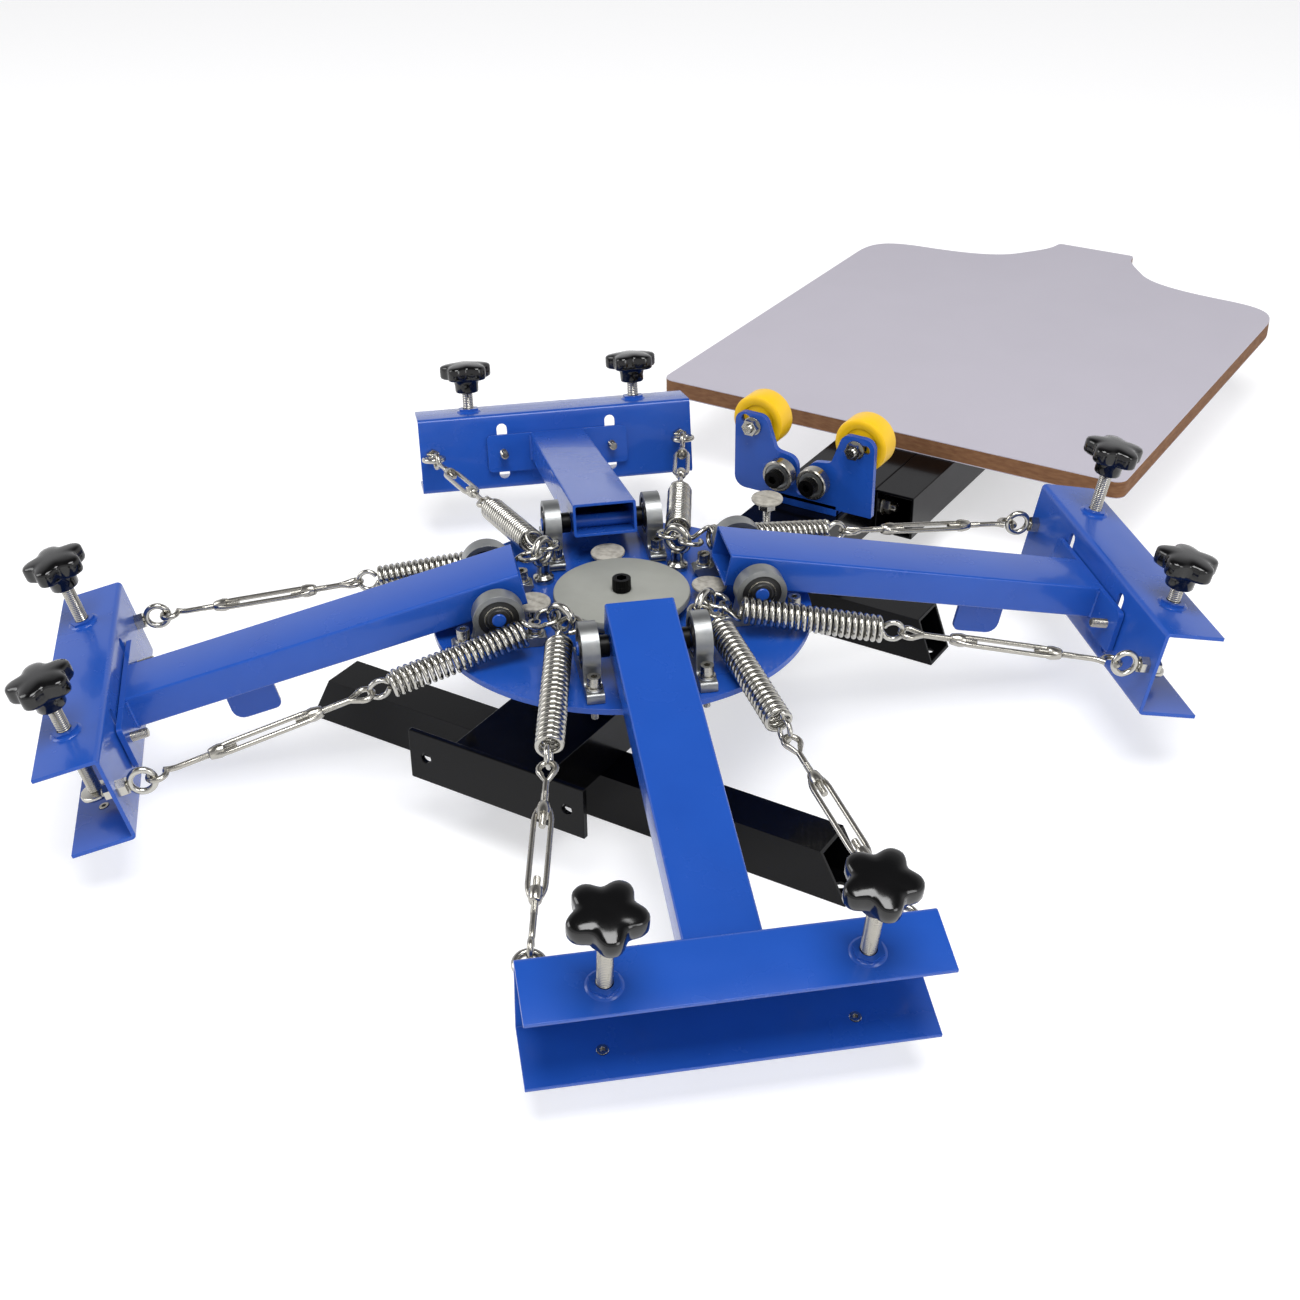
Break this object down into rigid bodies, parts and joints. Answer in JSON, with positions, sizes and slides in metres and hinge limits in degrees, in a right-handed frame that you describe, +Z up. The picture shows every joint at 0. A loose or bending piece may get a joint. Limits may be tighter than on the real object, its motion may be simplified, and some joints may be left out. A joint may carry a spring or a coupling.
{
  "type": "screen printing press",
  "caption": "Rotary tabletop screen printing press whose sprung arms clamp printing frames and lower them over a garment pallet, located by a registration gate",
  "frame": {"origin": "middle of the underside of the front foot, on the surface the press stands on", "axes": "+Y from the bench plate towards the pallet, +Z up, +X to the right when standing at the bench plate"},
  "size_m": [0.7632, 1.3567, 0.1819],
  "materials": {
    "blue_paint": "gloss powder coat",
    "black_paint": "satin black powder coat",
    "cast_grey": "grey painted casting",
    "bright_steel": "plated steel",
    "chrome_steel": "bright zinc plate",
    "black_plastic": "glossy moulded plastic",
    "cream_plastic": "cream moulded pad",
    "yellow_plastic": "yellow moulded wheel",
    "pallet_board": "lilac grey laminate on brown fibreboard",
    "black_steel": "black oxide"
  },
  "bodies": {
    "base": {"main_beam": "black_paint", "bench_plate": "black_paint", "front_foot": "black_paint", "rear_foot": "black_paint", "pallet_arm": "black_paint", "pallet": "pallet_board", "hub_post": "cast_grey", "hub_cap": "cast_grey", "hub_bolt": "black_steel", "gate_plate": "blue_paint"},
    "turntable_body": {"turntable": "blue_paint", "pillow_block_1a": "cast_grey", "pillow_block_1b": "cast_grey", "pillow_block_2a": "cast_grey", "pillow_block_2b": "cast_grey", "pillow_block_3a": "cast_grey", "pillow_block_3b": "cast_grey", "pillow_block_4a": "cast_grey", "pillow_block_4b": "cast_grey"},
    "arm_body_1": {"arm_1": "blue_paint", "frame_clamp_1": "blue_paint"},
    "stop_body_1": {"stop_screw_1": "cream_plastic"},
    "press_body_1a": {"pressure_disc_1a": "bright_steel"},
    "screw_body_1a": {"clamp_screw_1a": "black_plastic"},
    "tension_body_1a": {"tension_unit_1a": "chrome_steel"},
    "press_body_1b": {"pressure_disc_1b": "bright_steel"},
    "screw_body_1b": {"clamp_screw_1b": "black_plastic"},
    "tension_body_1b": {"tension_unit_1b": "chrome_steel"},
    "arm_body_2": {"arm_2": "blue_paint", "frame_clamp_2": "blue_paint"},
    "stop_body_2": {"stop_screw_2": "cream_plastic"},
    "press_body_2a": {"pressure_disc_2a": "bright_steel"},
    "screw_body_2a": {"clamp_screw_2a": "black_plastic"},
    "tension_body_2a": {"tension_unit_2a": "chrome_steel"},
    "press_body_2b": {"pressure_disc_2b": "bright_steel"},
    "screw_body_2b": {"clamp_screw_2b": "black_plastic"},
    "tension_body_2b": {"tension_unit_2b": "chrome_steel"},
    "arm_body_3": {"arm_3": "blue_paint", "frame_clamp_3": "blue_paint"},
    "stop_body_3": {"stop_screw_3": "cream_plastic"},
    "press_body_3a": {"pressure_disc_3a": "bright_steel"},
    "screw_body_3a": {"clamp_screw_3a": "black_plastic"},
    "tension_body_3a": {"tension_unit_3a": "chrome_steel"},
    "press_body_3b": {"pressure_disc_3b": "bright_steel"},
    "screw_body_3b": {"clamp_screw_3b": "black_plastic"},
    "tension_body_3b": {"tension_unit_3b": "chrome_steel"},
    "arm_body_4": {"arm_4": "blue_paint", "frame_clamp_4": "blue_paint"},
    "stop_body_4": {"stop_screw_4": "cream_plastic"},
    "press_body_4a": {"pressure_disc_4a": "bright_steel"},
    "screw_body_4a": {"clamp_screw_4a": "black_plastic"},
    "tension_body_4a": {"tension_unit_4a": "chrome_steel"},
    "press_body_4b": {"pressure_disc_4b": "bright_steel"},
    "screw_body_4b": {"clamp_screw_4b": "black_plastic"},
    "tension_body_4b": {"tension_unit_4b": "chrome_steel"},
    "roller_body_1": {"gate_roller_1": "yellow_plastic"},
    "bearing_body_1": {"gate_bearing_1": "bright_steel"},
    "roller_body_2": {"gate_roller_2": "yellow_plastic"},
    "bearing_body_2": {"gate_bearing_2": "bright_steel"},
    "print_stop_body": {"print_stop": "cream_plastic"}
  },
  "joints": [
    {"name": "turntable_spin", "type": "hinge", "parent": "base", "child": "turntable_body", "pos_m": [0, 0.072, 0.1185], "axis": [0, 0, 1], "range_deg": [-6, 12]},
    {"name": "arm_lift_1", "type": "hinge", "parent": "turntable_body", "child": "arm_body_1", "pos_m": [0.06155, 0.00315, 0.14307], "axis": [-0.7455, -0.6665, 0], "range_deg": [0, 27]},
    {"name": "stop_adjust_1", "type": "slide", "parent": "turntable_body", "child": "stop_body_1", "axis": [0, 0, 1], "range_m": [-0.006, 0]},
    {"name": "disc_press_1a", "type": "slide", "parent": "arm_body_1", "child": "press_body_1a", "axis": [0.1669, -0.1867, 0.9681], "range_m": [-0.039, 0.0062]},
    {"name": "screw_turn_1a", "type": "hinge", "parent": "press_body_1a", "child": "screw_body_1a", "pos_m": [0.20076, -0.26356, 0.10443], "axis": [0.1669, -0.1867, 0.9681], "range_deg": [-9370, 1500]},
    {"name": "tension_swing_1a", "type": "hinge", "parent": "arm_body_1", "child": "tension_body_1a", "pos_m": [0.14155, -0.25134, 0.08435], "axis": [-0.7455, -0.6665, 0], "range_deg": [-4.47, 0.6]},
    {"name": "disc_press_1b", "type": "slide", "parent": "arm_body_1", "child": "press_body_1b", "axis": [0.1669, -0.1867, 0.9681], "range_m": [-0.039, 0.0037]},
    {"name": "screw_turn_1b", "type": "hinge", "parent": "press_body_1b", "child": "screw_body_1b", "pos_m": [0.31109, -0.16491, 0.10443], "axis": [0.1669, -0.1867, 0.9681], "range_deg": [-9370, 900]},
    {"name": "tension_swing_1b", "type": "hinge", "parent": "arm_body_1", "child": "tension_body_1b", "pos_m": [0.30555, -0.10471, 0.08435], "axis": [-0.7455, -0.6665, 0], "range_deg": [-4.47, 0.6]},
    {"name": "arm_lift_2", "type": "hinge", "parent": "turntable_body", "child": "arm_body_2", "pos_m": [0.06885, 0.13355, 0.14307], "axis": [0.6665, -0.7455, 0], "range_deg": [0, 24]},
    {"name": "stop_adjust_2", "type": "slide", "parent": "turntable_body", "child": "stop_body_2", "axis": [0, 0, 1], "range_m": [-0.006, 0]},
    {"name": "disc_press_2a", "type": "slide", "parent": "arm_body_2", "child": "press_body_2a", "axis": [0.1486, 0.1329, 0.9799], "range_m": [-0.0074, 0.0487]},
    {"name": "screw_turn_2a", "type": "hinge", "parent": "press_body_2a", "child": "screw_body_2a", "pos_m": [0.33677, 0.27384, 0.11974], "axis": [0.1486, 0.1329, 0.9799], "range_deg": [-1790, 11700]},
    {"name": "tension_swing_2a", "type": "hinge", "parent": "arm_body_2", "child": "tension_body_2a", "pos_m": [0.32538, 0.21537, 0.09715], "axis": [0.6665, -0.7455, 0], "range_deg": [-4.05, 0.6]},
    {"name": "disc_press_2b", "type": "slide", "parent": "arm_body_2", "child": "press_body_2b", "axis": [0.1486, 0.1329, 0.9799], "range_m": [-0.0124, 0.0437]},
    {"name": "screw_turn_2b", "type": "hinge", "parent": "press_body_2b", "child": "screw_body_2b", "pos_m": [0.23812, 0.38417, 0.11974], "axis": [0.1486, 0.1329, 0.9799], "range_deg": [-2990, 10500]},
    {"name": "tension_swing_2b", "type": "hinge", "parent": "arm_body_2", "child": "tension_body_2b", "pos_m": [0.17875, 0.37938, 0.09715], "axis": [0.6665, -0.7455, 0], "range_deg": [-4.05, 0.6]},
    {"name": "arm_lift_3", "type": "hinge", "parent": "turntable_body", "child": "arm_body_3", "pos_m": [-0.06155, 0.14084, 0.14307], "axis": [0.7455, 0.6665, 0], "range_deg": [0, 25.5]},
    {"name": "stop_adjust_3", "type": "slide", "parent": "turntable_body", "child": "stop_body_3", "axis": [0, 0, 1], "range_m": [-0.006, 0]},
    {"name": "disc_press_3a", "type": "slide", "parent": "arm_body_3", "child": "press_body_3a", "axis": [-0.1499, 0.1677, 0.9744], "range_m": [-0.012, 0.0307]},
    {"name": "screw_turn_3a", "type": "hinge", "parent": "press_body_3a", "child": "screw_body_3a", "pos_m": [-0.20137, 0.40824, 0.11207], "axis": [-0.1499, 0.1677, 0.9744], "range_deg": [-2890, 7380]},
    {"name": "tension_swing_3a", "type": "hinge", "parent": "arm_body_3", "child": "tension_body_3a", "pos_m": [-0.14251, 0.39643, 0.09073], "axis": [0.7455, 0.6665, 0], "range_deg": [-4.26, 0.6]},
    {"name": "disc_press_3b", "type": "slide", "parent": "arm_body_3", "child": "press_body_3b", "axis": [-0.1499, 0.1677, 0.9744], "range_m": [-0.014, 0.0287]},
    {"name": "screw_turn_3b", "type": "hinge", "parent": "press_body_3b", "child": "screw_body_3b", "pos_m": [-0.3117, 0.30959, 0.11207], "axis": [-0.1499, 0.1677, 0.9744], "range_deg": [-3370, 6900]},
    {"name": "tension_swing_3b", "type": "hinge", "parent": "arm_body_3", "child": "tension_body_3b", "pos_m": [-0.30652, 0.24979, 0.09073], "axis": [0.7455, 0.6665, 0], "range_deg": [-4.26, 0.6]},
    {"name": "arm_lift_4", "type": "hinge", "parent": "turntable_body", "child": "arm_body_4", "pos_m": [-0.06885, 0.01045, 0.14307], "axis": [-0.6665, 0.7455, 0], "range_deg": [0, 26.4]},
    {"name": "stop_adjust_4", "type": "slide", "parent": "turntable_body", "child": "stop_body_4", "axis": [0, 0, 1], "range_m": [-0.006, 0]},
    {"name": "disc_press_4a", "type": "slide", "parent": "arm_body_4", "child": "press_body_4a", "axis": [-0.1791, -0.1601, 0.9707], "range_m": [-0.0194, 0.0367]},
    {"name": "screw_turn_4a", "type": "hinge", "parent": "press_body_4a", "child": "screw_body_4a", "pos_m": [-0.33585, -0.12902, 0.10748], "axis": [-0.1791, -0.1601, 0.9707], "range_deg": [-4670, 8820]},
    {"name": "tension_swing_4a", "type": "hinge", "parent": "arm_body_4", "child": "tension_body_4a", "pos_m": [-0.32379, -0.06995, 0.0869], "axis": [-0.6665, 0.7455, 0], "range_deg": [-4.39, 0.6]},
    {"name": "disc_press_4b", "type": "slide", "parent": "arm_body_4", "child": "press_body_4b", "axis": [-0.1791, -0.1601, 0.9707], "range_m": [-0.0104, 0.0457]},
    {"name": "screw_turn_4b", "type": "hinge", "parent": "press_body_4b", "child": "screw_body_4b", "pos_m": [-0.2372, -0.23935, 0.10748], "axis": [-0.1791, -0.1601, 0.9707], "range_deg": [-2510, 10980]},
    {"name": "tension_swing_4b", "type": "hinge", "parent": "arm_body_4", "child": "tension_body_4b", "pos_m": [-0.17715, -0.23395, 0.0869], "axis": [-0.6665, 0.7455, 0], "range_deg": [-4.39, 0.6]},
    {"name": "gate_roller_spin_1", "type": "hinge", "parent": "base", "child": "roller_body_1", "pos_m": [-0.0474, 0.368, 0.1418], "axis": [0, 1, 0], "continuous": true},
    {"name": "gate_bearing_spin_1", "type": "hinge", "parent": "base", "child": "bearing_body_1", "pos_m": [-0.0156, 0.34, 0.109], "axis": [0, 1, 0], "continuous": true},
    {"name": "gate_roller_spin_2", "type": "hinge", "parent": "base", "child": "roller_body_2", "pos_m": [0.0474, 0.368, 0.1418], "axis": [0, 1, 0], "continuous": true},
    {"name": "gate_bearing_spin_2", "type": "hinge", "parent": "base", "child": "bearing_body_2", "pos_m": [0.0156, 0.34, 0.109], "axis": [0, 1, 0], "continuous": true},
    {"name": "print_stop_adjust", "type": "slide", "parent": "base", "child": "print_stop_body", "axis": [0, 0, 1], "range_m": [0, 0.012]}
  ],
  "couplings": [
    {"joint": "screw_turn_1a", "follows": "disc_press_1a", "rad_per_m": 4188.8},
    {"joint": "tension_swing_1a", "follows": "arm_lift_1", "ratio": -0.14343},
    {"joint": "screw_turn_1b", "follows": "disc_press_1b", "rad_per_m": 4188.8},
    {"joint": "tension_swing_1b", "follows": "arm_lift_1", "ratio": -0.14343},
    {"joint": "screw_turn_2a", "follows": "disc_press_2a", "rad_per_m": 4188.8},
    {"joint": "tension_swing_2a", "follows": "arm_lift_2", "ratio": -0.14358},
    {"joint": "screw_turn_2b", "follows": "disc_press_2b", "rad_per_m": 4188.8},
    {"joint": "tension_swing_2b", "follows": "arm_lift_2", "ratio": -0.14358},
    {"joint": "screw_turn_3a", "follows": "disc_press_3a", "rad_per_m": 4188.8},
    {"joint": "tension_swing_3a", "follows": "arm_lift_3", "ratio": -0.14352},
    {"joint": "screw_turn_3b", "follows": "disc_press_3b", "rad_per_m": 4188.8},
    {"joint": "tension_swing_3b", "follows": "arm_lift_3", "ratio": -0.14352},
    {"joint": "screw_turn_4a", "follows": "disc_press_4a", "rad_per_m": 4188.8},
    {"joint": "tension_swing_4a", "follows": "arm_lift_4", "ratio": -0.14347},
    {"joint": "screw_turn_4b", "follows": "disc_press_4b", "rad_per_m": 4188.8},
    {"joint": "tension_swing_4b", "follows": "arm_lift_4", "ratio": -0.14347}
  ]
}
